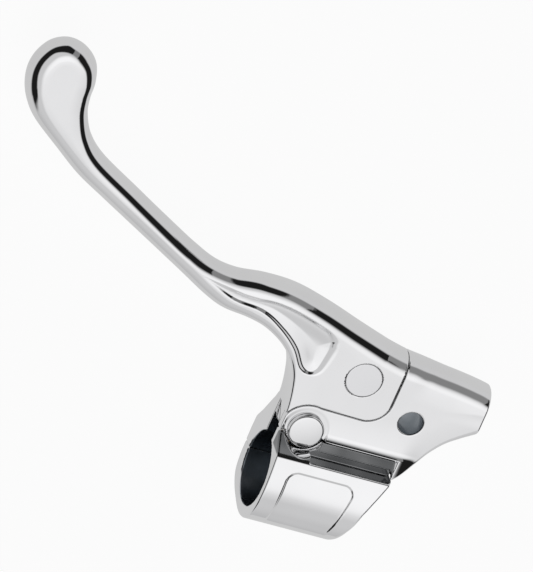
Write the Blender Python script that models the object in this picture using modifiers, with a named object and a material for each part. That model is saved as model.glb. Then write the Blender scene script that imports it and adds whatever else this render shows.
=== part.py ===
"""Motorcycle clutch lever with its handlebar perch.

Frame: X runs inboard along the handlebar bore, Y points forward (away from the
rider), Z is up.  Dimensions are in millimetres from the bore axis, in the plane
of the clamp's outboard end face, and are scaled to metres as each mesh is made.
The finished assembly is moved forward by DATUM_Y, so that the origin lies on
that face, behind the bore.
"""
import bpy
import bmesh
import math
from mathutils import Vector, Matrix

MM = 0.001

# ---------------------------------------------------------------- dimensions
BORE_R = 12.7            # 25.4 mm handlebar
BORE_CHAMFER = 2.0       # extra radius 1 mm outside the end face
TOP = 5.3                # top plane of perch arm and lever root
BOTTOM = -8.5            # their underside
MID = (TOP + BOTTOM) / 2.0
DATUM_Y = 14.4           # bore axis ahead of the origin

# Seam between perch and lever
PIVOT = (8.4, 20.7)      # lever pivot axis, vertical
EAR_R = 8.9              # round outboard end of the perch ears
SEAM_Y = 29.0            # straight run inboard of the ears
SEAM_X = 32.7            # straight run forward, outboard of the nose
SEAM_CORNER_R = 8.0      # corner between the two runs
SEAM_END_Y = 75.0
SEAM_GAP = 0.35          # gap between lever root and perch

# Tongue of the lever and its slot between the ears
SLOT_LO, SLOT_HI = -5.0, 2.5
SLOT_X1 = 18.3           # inboard end of the slot
TONGUE_LO, TONGUE_HI = -4.2, 1.7
TONGUE_R = 7.6

# Pivot pin and bushes
PIN_R = 4.0
PIN_HEAD_R = 6.0
PIN_HEAD_TOP = 7.3
PIN_HEAD_BASE = TOP + 0.08
PIN_BORE_R = 4.1
SPOTFACE_R = 6.6         # under the lower ear
BUSH_IN = 4.06
BUSH_OUT = 5.2
BUSH_FLANGE_R = 6.6
BUSH_FLANGE = 0.44       # flange thickness
BUSH_FLANGE_GAP = 0.06   # between flange and tongue
BUSH_TOP_END, BUSH_BOTTOM_END = -1.1, -1.4    # where the two nearly meet
WAVE_IN, WAVE_OUT = 4.3, 6.2
WAVE_Z, WAVE_HALF = 2.36, 0.1   # washer's mid height and half thickness

# Cable anchor pin, vertical, in the lever root
ANCHOR = (20.0, 43.4)
ANCHOR_R = 6.2
ANCHOR_BUSH_IN = 6.26
ANCHOR_BUSH_OUT = 7.1
ANCHOR_BORE_R = 7.15
ANCHOR_LIP_R = 6.55      # thin lip of the lever's top skin over the upper bush
ANCHOR_LIP_Z = 4.88
NIPPLE_R, WIRE_R = 3.1, 1.6     # outboard and inboard cross holes in the pin
CROSS_HOLE_REACH = 12.0

MIRROR = (41.1, 32.5)    # mirror stem hole
MIRROR_R = 4.1

# Cable axis along X, and the cable's brass seat
CABLE_AXIS = (ANCHOR[1], MID)   # (y, z)
CABLE_HOLE_R = 2.4
FAN_HALF = 2.0           # half height of the lever's fan-shaped cable slot
NOSE_END_X = 64.0        # flat end of the nose, where the cable comes out
SEAT_X0, SEAT_STEP_X, SEAT_X1 = 54.3, 57.5, 63.4
SEAT_IN, SEAT_COUNTERBORE_R, SEAT_OUT = 1.6, 3.4, 5.0
SEAT_CHAMFER = 0.4
SEAT_BORE_R = 5.05
SEAT_END_GAP = 0.3

# Clamp
SPLIT_HALF = 0.2         # cap and jaw each stop this far from the bottom split
CAP_FRONT_Y = 18.3       # cap's front face, at the foot of the slope
CAP_LENGTH = 50.0        # before the inboard end is trimmed
CAP_GAP = 0.4
CAP_ROOM_REAR_Y = -4.0
CAP_ROOM_X1 = 42.4
CAP_ROOM_Z = -0.5        # floor of the room above the tongue slot
EAR_BOSS_R = 6.6         # ear behind the pivot, inside the cap's hollow
CAP_HOLLOW_R = 6.95      # hollow in the cap behind the pivot head
HEAD_FACE_GAP = 0.05     # round face under the pivot head, past the hollow
LIP_Z_OUT = 3.0          # underside of the cap's lip beside the tongue slot
LIP_Z_IN = -3.0          # underside of the lip where it takes the screws
PANEL_SCALE = 0.958      # sunk panel's floor against the barrel section

# Sweep of the perch's top skin up to the clamp
SWELL_Y, SWELL_R = 21.3, 4.0    # front end and radius
SWELL_REAR_Y = 15.0
SWELL_BASE = TOP - 0.5
SWELL_ANGLES = (5.0, 12.0, 19.0, 26.0, 33.0, 40.5)

# Clamp screws (M4) and lock washers
SCREW_X = (23.5, 35.5)
SCREW_Y = 15.6
SCREW_R = 1.95
SCREW_TIP = 4.6
SCREW_HOLE_R = 2.2
SCREW_HOLE_TOP_PERCH, SCREW_HOLE_TOP_CAP = 4.5, 5.4
SCREW_HEAD_R = 3.5
SCREW_HEAD_TOP = -10.0
SCREW_HEAD_BOTTOM = -13.6
SCREW_HEAD_CHAMFER = 0.4
HEX_R, HEX_DEPTH = 1.73, 2.2
COUNTERBORE_R = 3.9
COUNTERBORE_Z = -9.0
WASHER_IN, WASHER_OUT = 2.15, 3.4
WASHER_LO, WASHER_HI = -9.85, -9.15
WASHER_SLIT_HALF = 0.25

CLIP_OPENING = 0.62      # half width of a clip's opening against its inner radius

# Lever blade
BLADE_SCALE = 0.80       # blade height against root height
BLADE_START_X = -8.0     # where the height starts to drop
BLADE_FADE = 40.0        # length over which it drops
POCKET_DEPTH = 1.3
EDGE_ROUND = 4.6         # rounding of lever edges
PERCH_ROUND = 4.2        # rounding of the perch nose
EDGE_RESOLUTION = 2
SHARP_ANGLE = 35.0       # degrees

# Cutters overshoot the parts to these distances.
THROUGH, DEEP, CLEAR, WIDE = 20.0, 25.0, 30.0, 40.0
INBOARD_CLEAR = 90.0

# ---------------------------------------------------------------- outlines
# Perch nose in plan, (x, y): from the clamp forward to the inboard tip, round
# it and back outboard along the front.
NOSE = [
    (34.0, 7.6), (40.2, 9.4), (44.6, 13.0), (48.2, 18.2), (51.2, 23.2),
    (55.0, 27.8), (59.2, 31.0), (63.9, 34.0), (69.0, 37.0), (73.0, 42.0),
    (69.0, 48.2), (63.9, 49.7), (58.6, 50.6), (53.0, 51.5), (47.0, 52.3),
    (41.0, 53.2), (33.2, 54.1)]
# Rest of the perch blank, running on outboard and back to the rear, (x, y).
ARM_OUTBOARD = [(25.5, 56.4), (12.0, 60.0), (-14.0, 66.0), (-18.0, 36.0), (-14.0, 7.6)]

# Lever in plan, (x, y): front of the root, front of the blade out and round
# the ball end, then the rear of the blade back to the root.
ROOT_FRONT = [(25.5, 55.9), (14.1, 59.5), (1.2, 63.7)]
BLADE_FRONT = [
    (-11.6, 66.9), (-23.0, 67.6), (-33.0, 67.0), (-41.5, 68.4),
    (-50.0, 72.0), (-58.4, 76.3), (-75.8, 85.6), (-91.5, 94.2),
    (-98.9, 100.8), (-103.3, 108.2), (-104.8, 114.0), (-105.2, 120.0),
    (-107.4, 126.2), (-112.6, 130.4), (-118.5, 131.4), (-123.8, 128.9),
    (-127.0, 123.8), (-127.9, 118.0), (-126.6, 112.0), (-123.6, 106.4),
    (-118.6, 100.9)]
BLADE_REAR = [
    (-108.0, 93.2), (-97.9, 86.1), (-87.1, 80.3), (-75.8, 74.4),
    (-64.5, 68.5), (-52.5, 62.2), (-41.5, 56.4), (-33.9, 53.6),
    (-25.1, 52.9), (-18.3, 51.6), (-11.5, 48.2), (-6.6, 43.8),
    (-3.4, 38.6), (-1.6, 33.0), (-0.4, 27.0), (-0.1, 22.0)]
# Shallow pocket in the lever's top, (x, y).
POCKET = [
    (-40.0, 61.0), (-33.5, 58.3), (-22.0, 57.1), (-13.8, 53.0), (-7.0, 47.6),
    (-2.3, 41.4), (1.8, 39.8), (5.7, 41.6), (7.5, 47.5), (7.7, 52.4),
    (5.0, 56.4), (-8.2, 61.0), (-18.1, 62.7), (-28.2, 62.2)]

# Clamp cap section, (y, z): up the front slope, over the top and down the rear.
BARREL_TOP = [
    (CAP_FRONT_Y, 6.65), (17.4, 7.7), (15.3, 10.2), (13.6, 12.3),
    (12.6, 13.2), (6.4, 14.5), (0.0, 15.1), (-6.5, 14.3),
    (-12.0, 11.5), (-15.2, 7.0), (-16.3, 1.5), (-15.4, -5.0),
    (-13.6, -11.2), (-10.6, -15.6), (-5.4, -17.5), (-SPLIT_HALF, -17.9)]
# Lower front jaw section, (y, z).
JAW = [
    (SPLIT_HALF, -17.9), (5.0, -18.2), (9.5, -18.0), (13.9, -14.9),
    (19.3, -11.8), (24.6, -8.6), (24.6, -1.0), (SPLIT_HALF, -1.0)]
# Tapered inboard end of the clamp in plan, (x, y), rear to front.
INBOARD_LINE = [(31.8, -30.0), (32.3, -14.0), (33.5, -7.5), (35.6, 0.5),
                (37.6, 5.5), (40.4, 12.0)]
JAW_FRONT = [(46.6, 15.0), (49.4, 20.2), (52.0, 25.0)]
SWELL_PLAN = [(-8.0, 9.0), (36.6, 9.0), (41.2, 15.5), (44.6, 20.4),
              (47.6, 25.4), (50.0, 29.5), (-8.0, 29.5)]
# Recesses in the cap's top, (x, y, corner radius).
SLOPE_SLOT = [(12.0, 12.9, 0), (40.6, 12.9, 1.5), (40.6, 16.0, 1.5), (12.0, 16.0, 0)]
PANEL = [(5.7, -12.4, 0.5), (27.3, -12.4, 0.5), (30.9, 9.5, 4.0), (5.7, 9.5, 4.0)]

# ---------------------------------------------------------------- materials
STEEL = (0.50, 0.51, 0.53)
ZINC = (0.60, 0.61, 0.63)
CLIP_STEEL = (0.30, 0.30, 0.32)
BRONZE = (0.62, 0.42, 0.20)
POLYMER = (0.05, 0.05, 0.055)
# name, colour, roughness, metallic
MATERIAL_TABLE = [
    ("chrome_perch", (0.86, 0.87, 0.88), 0.06, 1.0),
    ("chrome_lever", (0.88, 0.88, 0.89), 0.05, 1.0),
    ("chrome_cap", (0.85, 0.86, 0.88), 0.07, 1.0),
    ("chrome_pin", (0.84, 0.85, 0.87), 0.08, 1.0),
    ("anchor_steel", (0.78, 0.79, 0.81), 0.12, 1.0),
    ("screw_steel_a", STEEL, 0.28, 1.0),
    ("screw_steel_b", STEEL, 0.30, 1.0),
    ("washer_zinc_a", ZINC, 0.35, 1.0),
    ("washer_zinc_b", ZINC, 0.36, 1.0),
    ("spring_steel", (0.42, 0.43, 0.45), 0.32, 1.0),
    ("clip_steel_a", CLIP_STEEL, 0.40, 1.0),
    ("clip_steel_b", CLIP_STEEL, 0.42, 1.0),
    ("bronze_a", BRONZE, 0.35, 1.0),
    ("bronze_b", BRONZE, 0.37, 1.0),
    ("bush_polymer_a", POLYMER, 0.45, 0.0),
    ("bush_polymer_b", POLYMER, 0.47, 0.0),
    ("seat_brass", (0.72, 0.55, 0.28), 0.30, 1.0),
]


def make_material(name, colour, roughness, metallic):
    mat = bpy.data.materials.new(name)
    mat.use_nodes = True
    shader = mat.node_tree.nodes["Principled BSDF"]
    shader.inputs["Base Color"].default_value = (*colour, 1.0)
    shader.inputs["Roughness"].default_value = roughness
    shader.inputs["Metallic"].default_value = metallic
    mat.diffuse_color = (*colour, 1.0)
    return mat


# ---------------------------------------------------------------- plan curves
def catmull(points, closed, steps=2):
    """Smooth curve through the points, `steps` from one to the next."""
    count = len(points)
    out = []
    for i in range(count if closed else count - 1):
        if closed:
            p0, p1, p2, p3 = (points[(i + k - 1) % count] for k in range(4))
        else:
            p0 = points[max(i - 1, 0)]
            p1, p2 = points[i], points[i + 1]
            p3 = points[min(i + 2, count - 1)]
        for step in range(steps):
            t = step / steps
            out.append(tuple(
                0.5 * (2 * p1[k] + (p2[k] - p0[k]) * t
                       + (2 * p0[k] - 5 * p1[k] + 4 * p2[k] - p3[k]) * (t * t)
                       + (3 * p1[k] - p0[k] - 3 * p2[k] + p3[k]) * (t * t * t))
                for k in range(2)))
    if not closed:
        out.append(points[-1])
    return out


def rounded(corners, seg):
    """Polygon whose corners (x, y, radius) are replaced by tangent arcs."""
    out = []
    for i, (x, y, radius) in enumerate(corners):
        if radius <= 0:
            out.append((x, y))
            continue
        corner = Vector((x, y))
        to_last = (Vector(corners[i - 1][:2]) - corner).normalized()
        to_next = (Vector(corners[(i + 1) % len(corners)][:2]) - corner).normalized()
        half = math.acos(to_last.dot(to_next)) / 2
        tangent = radius / math.tan(half)
        centre = corner + (to_last + to_next).normalized() * (radius / math.sin(half))
        start = corner + to_last * tangent - centre
        end = corner + to_next * tangent - centre
        first = math.atan2(start.y, start.x)
        turn = math.remainder(math.atan2(end.y, end.x) - first, math.tau)
        for k in range(seg + 1):
            angle = first + turn * k / seg
            out.append((centre.x + radius * math.cos(angle),
                        centre.y + radius * math.sin(angle)))
    return out


def arc(centre, radius, start, end, seg):
    """Points on an arc, angles in degrees."""
    angles = [math.radians(start + (end - start) * k / seg) for k in range(seg + 1)]
    return [(centre[0] + radius * math.cos(angle), centre[1] + radius * math.sin(angle))
            for angle in angles]


def seam(offset):
    """Plan line between perch and lever, pushed towards the lever."""
    y = SEAM_Y + offset
    x = SEAM_X - offset
    radius = SEAM_CORNER_R - offset
    return (arc(PIVOT, EAR_R + offset, 158.0, 76.0, 10)
            + arc((x - radius, y + radius), radius, -90.0, 0.0, 8)
            + [(x, SEAM_END_Y)])


# ---------------------------------------------------------------- solids
def placement(axis, along, at):
    """Matrix turning local z to Z at (x, y), or to X at (y, z)."""
    if axis == 'Z':
        return Matrix.Translation((at[0] * MM, at[1] * MM, along * MM))
    return Matrix(((0, 0, 1, along * MM), (1, 0, 0, at[0] * MM),
                   (0, 1, 0, at[1] * MM), (0, 0, 0, 1)))


def add_object(name, mesh, coll, matrix):
    ob = bpy.data.objects.new(name, mesh)
    ob.matrix_world = matrix
    coll.objects.link(ob)
    if coll is CUTTERS:
        ob.hide_render = True
        ob.display_type = 'WIRE'
    return ob


def clean(mesh, merge, collapse=None):
    """Weld vertices, optionally drop degenerate faces, and face outwards."""
    work = bmesh.new()
    work.from_mesh(mesh)
    bmesh.ops.remove_doubles(work, verts=work.verts, dist=merge)
    if collapse is not None:
        bmesh.ops.dissolve_degenerate(work, edges=work.edges, dist=collapse)
    bmesh.ops.recalc_face_normals(work, faces=work.faces)
    work.to_mesh(mesh)
    work.free()


def evaluated_mesh(ob):
    bpy.context.view_layer.update()
    graph = bpy.context.evaluated_depsgraph_get()
    return bpy.data.meshes.new_from_object(ob.evaluated_get(graph))


def bake(ob):
    """Apply the object's modifiers into its mesh."""
    mesh = evaluated_mesh(ob)
    ob.modifiers.clear()
    old = ob.data
    ob.data = mesh
    bpy.data.meshes.remove(old)
    clean(mesh, merge=0.000002, collapse=0.000001)


def plate(name, points, lo, hi, coll=None, axis='Z', edge=0.0):
    """Closed outline extruded from lo to hi along an axis, with an optional
    round edge that stays inside the outline.  A cutter unless coll is given."""
    curve = bpy.data.curves.new(name, 'CURVE')
    curve.dimensions = '2D'
    curve.fill_mode = 'BOTH'
    spline = curve.splines.new('POLY')
    spline.points.add(len(points) - 1)
    for target, (across, up) in zip(spline.points, points):
        target.co = (across * MM, up * MM, 0.0, 1.0)
    spline.use_cyclic_u = True
    curve.extrude = ((hi - lo) / 2.0 - edge) * MM
    if edge > 0:
        curve.bevel_depth = edge * MM
        curve.bevel_resolution = EDGE_RESOLUTION
        curve.offset = -edge * MM
    curve_ob = bpy.data.objects.new(name, curve)
    bpy.context.scene.collection.objects.link(curve_ob)
    curve_ob.matrix_world = placement(axis, (lo + hi) / 2.0, (0.0, 0.0))

    mesh = evaluated_mesh(curve_ob)
    clean(mesh, merge=0.00001)
    matrix = curve_ob.matrix_world.copy()
    bpy.data.objects.remove(curve_ob, do_unlink=True)
    bpy.data.curves.remove(curve)
    mesh.name = name
    return add_object(name, mesh, coll or CUTTERS, matrix)


def rod(name, radius, lo, hi, at, axis='Z', seg=48, end_radius=None):
    """Cutting cylinder, or cone if end_radius at hi is given, along Z at
    (x, y) or along X at (y, z)."""
    mesh = bpy.data.meshes.new(name)
    work = bmesh.new()
    bmesh.ops.create_cone(
        work, cap_ends=True, segments=seg, radius1=radius * MM,
        radius2=(radius if end_radius is None else end_radius) * MM,
        depth=(hi - lo) * MM)
    work.to_mesh(mesh)
    work.free()
    return add_object(name, mesh, CUTTERS, placement(axis, (lo + hi) / 2.0, at))


def box(name, lo, hi):
    """Cutting box between two corners."""
    mesh = bpy.data.meshes.new(name)
    work = bmesh.new()
    bmesh.ops.create_cube(work, size=1.0)
    for vert in work.verts:
        vert.co = Vector([(vert.co[k] + 0.5) * (hi[k] - lo[k]) + lo[k]
                          for k in range(3)]) * MM
    work.to_mesh(mesh)
    work.free()
    return add_object(name, mesh, CUTTERS, Matrix())


def turned(name, profile, at, axis='Z', seg=48):
    """Part turned from a (radius, height) profile, which starts and ends on
    its inner side and runs down its outer side."""
    mesh = bpy.data.meshes.new(name)
    count = len(profile)
    edges = [(i, i + 1) for i in range(count - 1)]
    if all(radius > 1e-6 for radius, height in profile):
        edges.append((count - 1, 0))
    mesh.from_pydata([(radius * MM, 0.0, height * MM) for radius, height in profile],
                     edges, [])
    ob = add_object(name, mesh, PARTS, placement(axis, 0.0, at))
    turn = ob.modifiers.new("turn", 'SCREW')
    turn.steps = seg
    turn.render_steps = seg
    turn.use_merge_vertices = True
    turn.merge_threshold = 0.000001
    bake(ob)
    return ob


def ring(name, inner, outer, lo, hi, at, seg=48):
    """Plain turned ring about a vertical axis."""
    return turned(name, [(inner, hi), (outer, hi), (outer, lo), (inner, lo)], at, seg=seg)


def boolean(ob, other, operation):
    mod = ob.modifiers.new(operation.lower(), 'BOOLEAN')
    mod.operation = operation
    mod.solver = 'EXACT'
    mod.use_self = operation == 'UNION'
    mod.object = other
    bake(ob)


def cut(ob, *cutters):
    for cutter in cutters:
        boolean(ob, cutter, 'DIFFERENCE')


def join(ob, other):
    boolean(ob, other, 'UNION')
    bpy.data.objects.remove(other, do_unlink=True)


def keep(ob, other):
    boolean(ob, other, 'INTERSECT')


def finish(ob, material_name, origin=None):
    """Move the origin without moving the shape, then set material and shading."""
    if origin is not None:
        matrix = Matrix.Translation([value * MM for value in origin])
        ob.data.transform(matrix.inverted() @ ob.matrix_world)
        ob.matrix_world = matrix
    ob.data.materials.clear()
    ob.data.materials.append(MATERIALS[material_name])
    ob.data.shade_smooth()
    ob.data.set_sharp_from_angle(angle=math.radians(SHARP_ANGLE))


# ---------------------------------------------------------------- perch
def make_swell():
    """Sweep of the perch's top skin up towards the clamp's slope."""
    sweep = [(SWELL_Y - SWELL_R * math.sin(math.radians(angle)),
              TOP + SWELL_R * (1.0 - math.cos(math.radians(angle))))
             for angle in SWELL_ANGLES]
    section = ([(SWELL_Y, SWELL_BASE), (SWELL_Y, TOP)] + sweep
               + [(SWELL_REAR_Y, sweep[-1][1]), (SWELL_REAR_Y, SWELL_BASE)])
    swell = plate("swell", section, -1.0, 55.0, PARTS, axis='X')
    keep(swell, plate("cut_swell_plan", SWELL_PLAN, -20.0, 30.0))
    return swell


def make_jaw():
    """Lower front half of the clamp."""
    jaw = plate("jaw", JAW, -4.0, 50.0, PARTS, axis='X')
    plan = [(-6.0, -30.0)] + INBOARD_LINE + JAW_FRONT + [(-6.0, 25.0)]
    keep(jaw, plate("cut_jaw_plan", plan, -WIDE, WIDE))
    return jaw


def cut_cap_room(perch):
    """Beside the tongue slot the cap only reaches down to the slot; further
    inboard it reaches down to take the clamp screws."""
    front_y = CAP_FRONT_Y + CAP_GAP
    inboard_x = SLOT_X1 + CAP_GAP
    plan = ([(-2.0, CAP_ROOM_REAR_Y), (inboard_x, CAP_ROOM_REAR_Y), (inboard_x, front_y)]
            + arc(PIVOT, EAR_BOSS_R, -17.0, -163.0, 22)
            + [(-2.0, front_y)])
    cut(perch, plate("cut_cap_room_out", plan, CAP_ROOM_Z, CLEAR))
    cut(perch, box("cut_cap_room_in", (SLOT_X1, CAP_ROOM_REAR_Y, LIP_Z_IN - CAP_GAP),
                   (CAP_ROOM_X1, front_y, CLEAR)))


def cut_perch_holes(perch, bore_cutters):
    slot = [(-6.0, 5.0), (SLOT_X1, 5.0), (SLOT_X1, 40.0), (-6.0, 40.0)]
    cut(perch, plate("cut_tongue_slot", slot, SLOT_LO, SLOT_HI))
    cut(perch, *bore_cutters)
    cut(perch,
        rod("cut_pivot_bore", PIN_BORE_R, -THROUGH, THROUGH, PIVOT),
        rod("cut_head_face", CAP_HOLLOW_R + HEAD_FACE_GAP, TOP, DEEP, PIVOT),
        rod("cut_spotface", SPOTFACE_R, -DEEP, BOTTOM, PIVOT, seg=40),
        rod("cut_mirror", MIRROR_R, -THROUGH, THROUGH, MIRROR, seg=40),
        rod("cut_mirror_chamfer", MIRROR_R - 0.5, TOP - 1.0, TOP + 0.5, MIRROR,
            seg=40, end_radius=MIRROR_R + 1.0),
        rod("cut_cable", CABLE_HOLE_R, 25.0, 60.0, CABLE_AXIS, axis='X', seg=24),
        rod("cut_cable_seat", SEAT_BORE_R, SEAT_X0 - SEAT_END_GAP, 75.0, CABLE_AXIS,
            axis='X', seg=40))
    for i, screw_x in enumerate(SCREW_X):
        at = (screw_x, SCREW_Y)
        cut(perch,
            rod("cut_screw_%d" % i, SCREW_HOLE_R, -DEEP, SCREW_HOLE_TOP_PERCH, at, seg=24),
            rod("cut_head_%d" % i, COUNTERBORE_R, -DEEP, COUNTERBORE_Z, at, seg=32))


def build_perch(bore_cutters):
    perch = plate("perch_body", catmull(NOSE, closed=False) + ARM_OUTBOARD,
                  BOTTOM, TOP, PARTS, edge=PERCH_ROUND)
    join(perch, make_swell())
    side = ([(-3.0, 9.0), (-3.0, PIVOT[1] + 3.0)] + seam(0.0)
            + [(INBOARD_CLEAR, SEAM_END_Y), (INBOARD_CLEAR, 9.0)])
    keep(perch, plate("cut_perch_side", side, -CLEAR, CLEAR))
    join(perch, make_jaw())
    cut(perch,
        box("cut_end_face", (-20.0, -30.0, -CLEAR), (0.0, 60.0, CLEAR)),
        box("cut_nose_end", (NOSE_END_X, 0.0, -CLEAR), (INBOARD_CLEAR, 80.0, CLEAR)))
    cut_cap_room(perch)
    cut_perch_holes(perch, bore_cutters)
    finish(perch, "chrome_perch")


# ---------------------------------------------------------------- clamp cap
def make_panel_cutter():
    """Sunk panel in the cap's top, its floor following the barrel."""
    panel = plate("cut_panel", rounded(PANEL, seg=6), 4.0, 25.0)
    floor = [(y * PANEL_SCALE, z * PANEL_SCALE) for y, z in BARREL_TOP]
    cut(panel, plate("cut_panel_floor", floor + [(-0.2, -5.0), (17.0, -5.0)],
                     -5.0, 60.0, axis='X'))
    return panel


def build_clamp_cap(bore_cutters):
    section = BARREL_TOP + [(-SPLIT_HALF, -10.0), (2.0, -6.0), (CAP_FRONT_Y, -6.0)]
    cap = plate("clamp_cap", section, 0.0, CAP_LENGTH, PARTS, axis='X')
    taper = ([(42.0, 22.0), (41.6, 18.3)] + INBOARD_LINE[::-1]
             + [(80.0, -30.0), (80.0, 22.0)])
    cut(cap,
        plate("cut_inboard", taper, -WIDE, WIDE),
        box("cut_lip_out", (-2.0, -SPLIT_HALF, -CLEAR), (SLOT_X1, 30.0, LIP_Z_OUT)),
        box("cut_lip_in", (-2.0, -SPLIT_HALF, -CLEAR), (60.0, 30.0, LIP_Z_IN)))
    cut(cap, *bore_cutters)
    cut(cap,
        rod("cut_cap_hollow", CAP_HOLLOW_R, -20.0, 30.0, PIVOT, seg=64),
        plate("cut_slope_slot", rounded(SLOPE_SLOT, seg=5), 7.4, 25.0),
        make_panel_cutter())
    for i, screw_x in enumerate(SCREW_X):
        cut(cap, rod("cut_cap_screw_%d" % i, SCREW_HOLE_R, -THROUGH, SCREW_HOLE_TOP_CAP,
                     (screw_x, SCREW_Y), seg=24))
    finish(cap, "chrome_cap")


# ---------------------------------------------------------------- fasteners
def build_screw(i, screw_x, tag, material_name):
    """Clamp screw, head down, with a hex socket."""
    at = (screw_x, SCREW_Y)
    screw = turned("clamp_screw_" + tag,
                   [(0.0, SCREW_TIP), (1.5, SCREW_TIP), (SCREW_R, 4.1),
                    (SCREW_R, SCREW_HEAD_TOP), (SCREW_HEAD_R, SCREW_HEAD_TOP),
                    (SCREW_HEAD_R, SCREW_HEAD_BOTTOM + SCREW_HEAD_CHAMFER),
                    (SCREW_HEAD_R - SCREW_HEAD_CHAMFER, SCREW_HEAD_BOTTOM),
                    (0.0, SCREW_HEAD_BOTTOM)], at, seg=24)
    cut(screw, rod("cut_hex_%d" % i, HEX_R, SCREW_HEAD_BOTTOM - 1.0,
                   SCREW_HEAD_BOTTOM + HEX_DEPTH, at, seg=6))
    finish(screw, material_name, (*at, SCREW_HEAD_TOP))


def build_lock_washer(i, screw_x, tag, material_name):
    """Washer slit on its inboard side."""
    at = (screw_x, SCREW_Y)
    washer = ring("clamp_washer_" + tag, WASHER_IN, WASHER_OUT, WASHER_LO, WASHER_HI,
                  at, seg=24)
    cut(washer, box("cut_lock_%d" % i, (screw_x + 1.0, SCREW_Y - WASHER_SLIT_HALF, -11.0),
                    (screw_x + 5.0, SCREW_Y + WASHER_SLIT_HALF, -8.0)))
    finish(washer, material_name, (*at, (WASHER_LO + WASHER_HI) / 2.0))


def build_clip(name, at, inner, outer, lo, hi, material_name):
    """Retaining clip, open to the rear."""
    clip = ring(name, inner, outer, lo, hi, at, seg=40)
    half = inner * CLIP_OPENING
    cut(clip, box("cut_" + name, (at[0] - half, at[1] - outer - 1.0, lo - 1.0),
                  (at[0] + half, at[1], hi + 1.0)))
    finish(clip, material_name, (*at, lo))


def build_cable_seat():
    """Stepped brass tube in the nose; its profile is (radius, x)."""
    seat = turned("cable_seat",
                  [(SEAT_IN, SEAT_STEP_X), (SEAT_COUNTERBORE_R, SEAT_STEP_X),
                   (SEAT_COUNTERBORE_R, SEAT_X1 - SEAT_CHAMFER),
                   (SEAT_COUNTERBORE_R + SEAT_CHAMFER, SEAT_X1), (SEAT_OUT, SEAT_X1),
                   (SEAT_OUT, SEAT_X0), (SEAT_IN, SEAT_X0)],
                  CABLE_AXIS, axis='X', seg=40)
    finish(seat, "seat_brass", (SEAT_X1, *CABLE_AXIS))


# ---------------------------------------------------------------- pivot
def build_pivot_pin():
    """Domed head on top, clip groove near the lower end."""
    pin = turned("pivot_pin",
                 [(0.0, PIN_HEAD_TOP), (2.2, PIN_HEAD_TOP - 0.06),
                  (4.2, PIN_HEAD_TOP - 0.26), (5.3, PIN_HEAD_TOP - 0.55),
                  (5.85, PIN_HEAD_TOP - 0.95), (PIN_HEAD_R, PIN_HEAD_TOP - 1.4),
                  (PIN_HEAD_R, PIN_HEAD_BASE), (PIN_R, PIN_HEAD_BASE),
                  (PIN_R, -9.0), (3.2, -9.0), (3.2, -9.75), (PIN_R, -9.75),
                  (PIN_R, -10.3), (PIN_R - 0.5, -10.8), (0.0, -10.8)], PIVOT)
    finish(pin, "chrome_pin", (*PIVOT, TOP))


def build_wave_washer():
    """Flat ring above the upper bush."""
    washer = ring("pivot_wave_washer", WAVE_IN, WAVE_OUT, WAVE_Z - WAVE_HALF,
                  WAVE_Z + WAVE_HALF, PIVOT)
    finish(washer, "spring_steel", (*PIVOT, WAVE_Z))


def build_pivot_bushes():
    """Flanged bushes entering the tongue from above and below."""
    seat = TONGUE_HI + BUSH_FLANGE_GAP
    top = turned("pivot_bush_top",
                 [(BUSH_IN, seat + BUSH_FLANGE), (BUSH_FLANGE_R, seat + BUSH_FLANGE),
                  (BUSH_FLANGE_R, seat), (BUSH_OUT, seat),
                  (BUSH_OUT, BUSH_TOP_END), (BUSH_IN, BUSH_TOP_END)], PIVOT)
    finish(top, "bronze_a", (*PIVOT, seat))
    seat = TONGUE_LO - BUSH_FLANGE_GAP
    bottom = turned("pivot_bush_bottom",
                    [(BUSH_IN, BUSH_BOTTOM_END), (BUSH_OUT, BUSH_BOTTOM_END),
                     (BUSH_OUT, seat), (BUSH_FLANGE_R, seat),
                     (BUSH_FLANGE_R, seat - BUSH_FLANGE),
                     (BUSH_IN, seat - BUSH_FLANGE)], PIVOT)
    finish(bottom, "bronze_b", (*PIVOT, seat))


# ---------------------------------------------------------------- lever
def blade_height(x):
    """Height factor along the lever: full at the root, less on the blade."""
    t = min(1.0, max(0.0, (BLADE_START_X - x) / BLADE_FADE))
    t = t * t * (3 - 2 * t)
    return 1.0 + (BLADE_SCALE - 1.0) * t


def make_tongue():
    outline = ([(0.6, 36.0), (0.3, 24.0)] + arc(PIVOT, TONGUE_R, 200.0, 330.0, 18)
               + [(17.2, 26.0), (17.4, 36.0)])
    return plate("tongue", outline, TONGUE_LO, TONGUE_HI, PARTS)


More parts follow.
